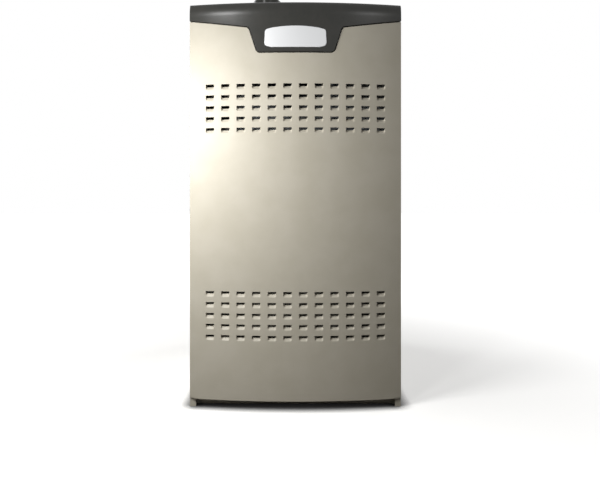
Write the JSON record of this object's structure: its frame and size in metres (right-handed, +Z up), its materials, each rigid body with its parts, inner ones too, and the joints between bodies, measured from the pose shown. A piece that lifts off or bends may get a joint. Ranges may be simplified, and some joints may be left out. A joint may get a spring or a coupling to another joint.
{
  "type": "forced air gas furnace",
  "caption": "Upright cabinet furnace with one bowed, louvred front door, a moulded top cap with a centre tab, a top vent, and open supply and return air ends.",
  "frame": {"origin": "on the floor, under the middle of the whole part's plan", "axes": "+Z up, the door faces -Y, +X to the right of someone who faces the door"},
  "size_m": [0.5334, 0.725, 1.085],
  "materials": {
    "champagne_paint": "satin baked enamel",
    "grey_paint": "satin baked enamel",
    "galvanised": "hot-dip galvanised sheet",
    "charcoal_plastic": "moulded, fine grain",
    "black_plastic": "moulded",
    "silver_plate": "satin",
    "foil_blanket": "foil-faced glass fibre blanket",
    "aluminised_steel": "aluminised sheet",
    "black_pipe": "black iron pipe",
    "cast_aluminium": "die cast",
    "red_plastic": "moulded",
    "ceramic": "fired ceramic",
    "board_green": "circuit board",
    "rubber": "moulded",
    "clear_glass": "clear",
    "motor_black": "black enamel"
  },
  "bodies": {
    "cabinet": {"badge_plate": "silver_plate", "base_pan": "galvanised", "blower_access_panel": "grey_paint", "blower_deck": "galvanised", "blower_housing": "galvanised", "blower_motor": "motor_black", "burner_1": "aluminised_steel", "burner_2": "aluminised_steel", "burner_3": "aluminised_steel", "burner_4": "aluminised_steel", "burner_rack": "galvanised", "cabinet_wrapper": "champagne_paint", "cell_support": "aluminised_steel", "collector_box": "aluminised_steel", "control_board": "board_green", "control_box": "galvanised", "door_switch": "black_plastic", "flame_sensor": "ceramic", "front_header": "galvanised", "gas_grommet": "rubber", "gas_inlet_pipe": "black_pipe", "gas_manifold": "black_pipe", "gas_valve": "cast_aluminium", "heat_cell_1": "aluminised_steel", "heat_cell_2": "aluminised_steel", "heat_cell_3": "aluminised_steel", "heat_cell_4": "aluminised_steel", "igniter": "ceramic", "inducer_housing": "motor_black", "inducer_motor": "motor_black", "insulation_liner": "foil_blanket", "junction_box": "galvanised", "junction_cover": "galvanised", "limit_switch": "black_plastic", "motor_mount": "galvanised", "pressure_hose": "rubber", "pressure_switch": "black_plastic", "rollout_switch_left": "black_plastic", "rollout_switch_right": "black_plastic", "sight_glass": "clear_glass", "stud_bush_left": "black_plastic", "stud_bush_right": "black_plastic", "top_cap": "charcoal_plastic", "top_panel": "champagne_paint", "transformer": "motor_black", "vent_collar": "charcoal_plastic", "vent_pipe": "galvanised", "vestibule_panel": "galvanised"},
    "front_door": {"front_door": "champagne_paint", "door_stiffener_lower": "galvanised", "door_stiffener_upper": "galvanised", "door_pad": "foil_blanket", "door_stud_left": "galvanised", "door_stud_right": "galvanised"},
    "blower_wheel": {"blower_wheel": "galvanised"},
    "inducer_wheel": {"inducer_wheel": "galvanised"},
    "gas_valve_knob": {"gas_valve_knob": "black_plastic"},
    "rollout_reset_left": {"rollout_reset_left": "red_plastic"},
    "rollout_reset_right": {"rollout_reset_right": "red_plastic"},
    "door_switch_pin": {"door_switch_pin": "red_plastic"}
  },
  "joints": [
    {"name": "door_slide", "type": "slide", "parent": "cabinet", "child": "front_door", "axis": [0, -1, 0], "range_m": [0, 0.45]},
    {"name": "blower_spin", "type": "hinge", "parent": "cabinet", "child": "blower_wheel", "pos_m": [0, 0.04, 0.212], "axis": [1, 0, 0], "continuous": true},
    {"name": "inducer_spin", "type": "hinge", "parent": "cabinet", "child": "inducer_wheel", "pos_m": [-0.02, -0.2, 0.849], "axis": [0, 1, 0], "continuous": true},
    {"name": "valve_knob_turn", "type": "hinge", "parent": "cabinet", "child": "gas_valve_knob", "pos_m": [-0.196, -0.3, 0.645], "axis": [0, 1, 0], "range_deg": [0, 90]},
    {"name": "reset_left_press", "type": "slide", "parent": "cabinet", "child": "rollout_reset_left", "axis": [0, 0, -1], "range_m": [0, 0.0015], "stiffness_N_per_m": 300, "springref_m": -0.002},
    {"name": "reset_right_press", "type": "slide", "parent": "cabinet", "child": "rollout_reset_right", "axis": [0, 0, -1], "range_m": [0, 0.0015], "stiffness_N_per_m": 300, "springref_m": -0.002},
    {"name": "door_switch_travel", "type": "slide", "parent": "cabinet", "child": "door_switch_pin", "axis": [0, -1, 0], "range_m": [0, 0.004]}
  ],
  "couplings": [
    {"joint": "door_switch_travel", "follows": "door_slide", "ratio": 0.00888}
  ]
}
